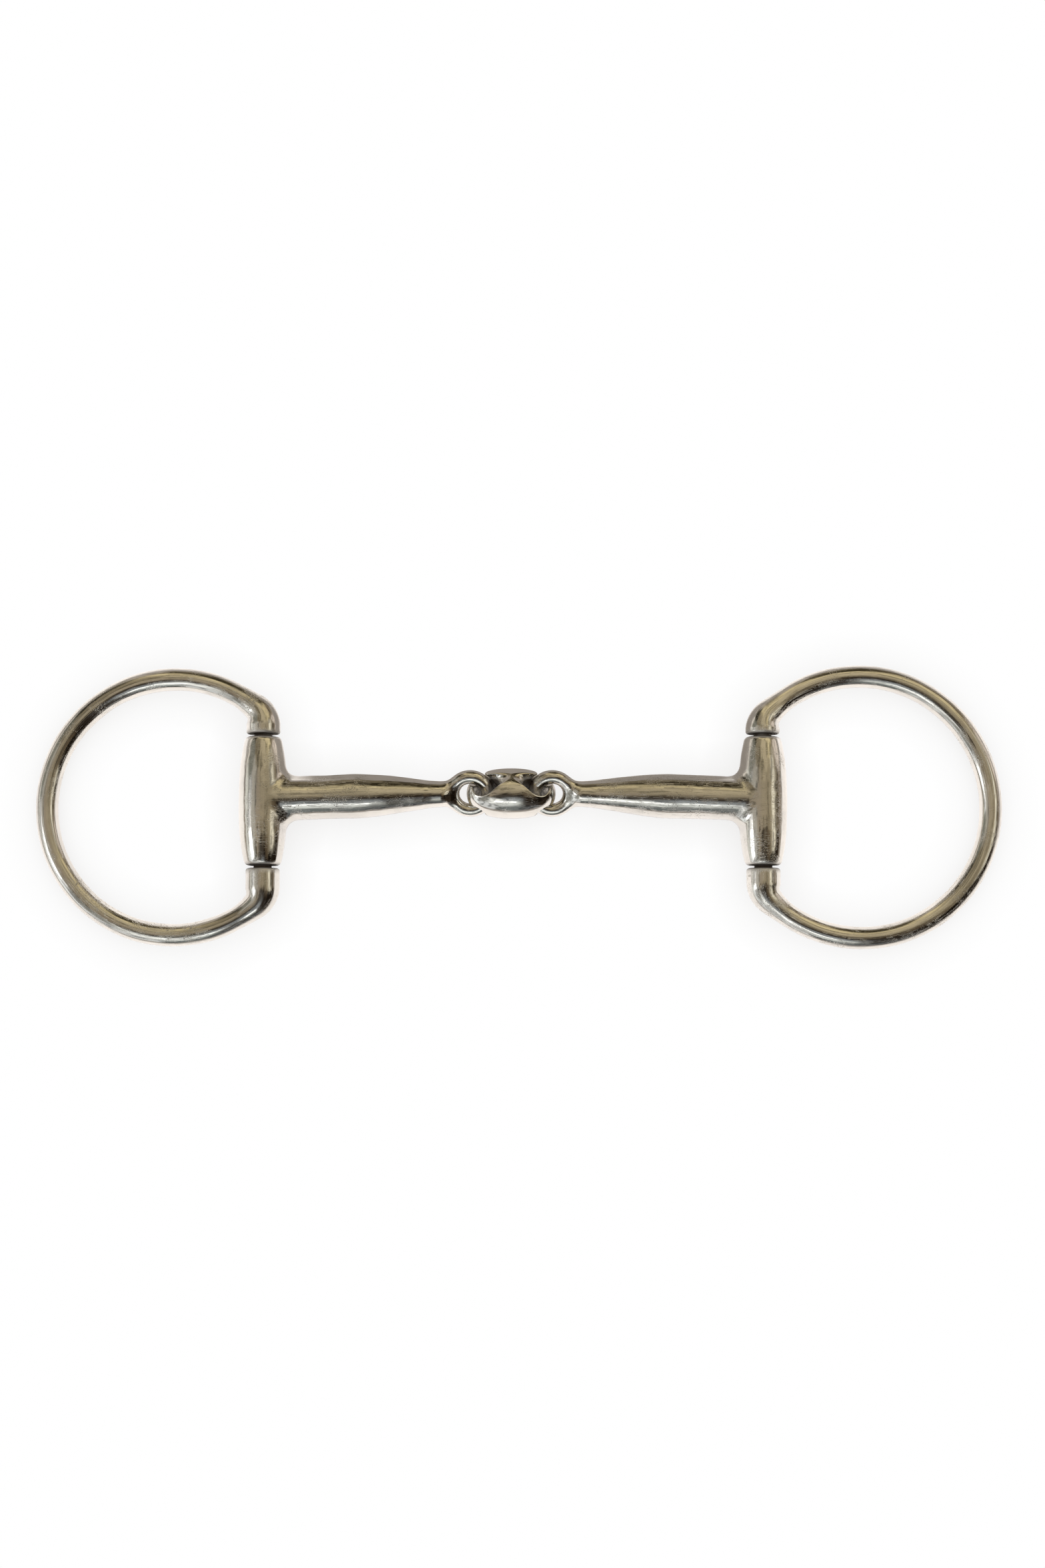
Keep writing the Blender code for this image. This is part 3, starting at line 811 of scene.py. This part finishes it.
def add_room():
    """A warm room for the metal to mirror, plain white behind the object."""
    world = bpy.data.worlds.new("room")
    bpy.context.scene.world = world
    world.use_nodes = True
    n = Nodes(world.node_tree)
    background = world.node_tree.nodes["Background"]
    look = n.add("ShaderNodeTexCoord").outputs["Generated"]
    wobble = n.noise(look, 4.0, detail=4.0, rough=0.6, output="Color")
    shift = n.add("ShaderNodeVectorMath", operation="MULTIPLY_ADD")
    n.link(wobble, shift.inputs[0])
    shift.inputs[1].default_value = [ROOM_WOBBLE] * 3
    n.link(look, shift.inputs[2])
    away = n.add("ShaderNodeVectorMath", operation="SUBTRACT")
    n.link(shift.outputs[0], away.inputs[0])
    away.inputs[1].default_value = [ROOM_WOBBLE / 2] * 3
    unit = n.add("ShaderNodeVectorMath", operation="NORMALIZE")
    n.link(away.outputs[0], unit.inputs[0])

    light = total = None
    for turn, lean, shown in ROOM:
        dot = n.add("ShaderNodeVectorMath", operation="DOT_PRODUCT")
        n.link(unit.outputs[0], dot.inputs[0])
        dot.inputs[1].default_value = direction(turn, lean)
        near = n.math("EXPONENT", n.math("MULTIPLY", n.math("SUBTRACT", dot.outputs["Value"], 1.0),
                                         EDGES))
        part = n.add("ShaderNodeVectorMath", operation="MULTIPLY_ADD")
        n.link(near, part.inputs[0])
        part.inputs[1].default_value = [(tone / 255) ** 2.2 / STEEL_SHOWS for tone in shown]
        if light is not None:
            n.link(light, part.inputs[2])
        light = part.outputs[0]
        total = near if total is None else n.math("ADD", total, near)
    colour = n.add("ShaderNodeVectorMath", operation="DIVIDE")
    n.link(light, colour.inputs[0])
    n.link(total, colour.inputs[1])
    clutter = n.remap(n.noise(look, 5.5, detail=4.0, rough=0.55), 0.51, 0.59, 1.0, 0.38)
    shaded = n.add("ShaderNodeVectorMath", operation="SCALE")
    n.link(colour.outputs[0], shaded.inputs[0])
    n.link(clutter, shaded.inputs["Scale"])
    seen = n.add("ShaderNodeLightPath").outputs["Is Camera Ray"]
    n.link(n.mix(seen, shaded.outputs[0], WHITE), background.inputs["Color"])


WINDOW_DISTANCE = 1.5


def add_window(name, turn, lean, wide, tall, radiance, colour, roll):
    """A soft rectangular light that faces the bit."""
    light = bpy.data.lights.new(name, "AREA")
    light.shape = "RECTANGLE"
    light.size = wide
    light.size_y = tall
    light.energy = radiance * math.pi * wide * tall
    light.color = colour
    obj = bpy.data.objects.new(name, light)
    away = direction(turn, lean)
    obj.location = away * WINDOW_DISTANCE
    obj.rotation_euler = (-away).to_track_quat("-Z", "Y").to_euler()
    obj.rotation_euler.rotate_axis("Z", math.radians(roll))
    bpy.context.scene.collection.objects.link(obj)


def add_overhead():
    """A broad soft light for the floor, kept out of the metal's mirror images."""
    light = bpy.data.lights.new("overhead", "AREA")
    light.shape = "DISK"
    light.size = 1.6
    light.energy = 37.0
    obj = bpy.data.objects.new("overhead", light)
    obj.location = (0.1, 0.15, 1.8)
    obj.rotation_euler = (-obj.location).to_track_quat("-Z", "Y").to_euler()
    obj.visible_glossy = False
    bpy.context.scene.collection.objects.link(obj)


# The picture is 2353 pixels high, with 5.408 of them to a millimetre of the bit.
PICTURE_HEIGHT = 2353 / 5.408 * MM
SENSOR_HEIGHT = 36.0


def add_camera():
    """The photograph's view: nearly straight down, leaning a little from the front."""
    distance = 1.0
    height = math.radians(84.5)
    data = bpy.data.cameras.new("camera")
    data.sensor_fit = "VERTICAL"
    data.sensor_height = SENSOR_HEIGHT
    data.lens = SENSOR_HEIGHT * distance / PICTURE_HEIGHT
    camera = bpy.data.objects.new("camera", data)
    target = Vector((0.0010, 0.0064, 0.0050))
    away = Vector((0, -math.cos(height), math.sin(height)))
    camera.location = target + away * distance
    camera.rotation_euler = (-away).to_track_quat("-Z", "Y").to_euler()
    bpy.context.scene.collection.objects.link(camera)
    bpy.context.scene.camera = camera


add_floor()
add_room()
add_window("window_left", turn=-168, lean=62, wide=0.40, tall=0.50, radiance=1.5,
           colour=(0.95, 0.98, 1.0), roll=8.0)
add_window("window_front", turn=-100, lean=46, wide=0.62, tall=0.22, radiance=1.15,
           colour=(0.97, 0.99, 1.0), roll=6.0)
add_overhead()
add_camera()
bpy.context.scene.view_settings.view_transform = "Standard"
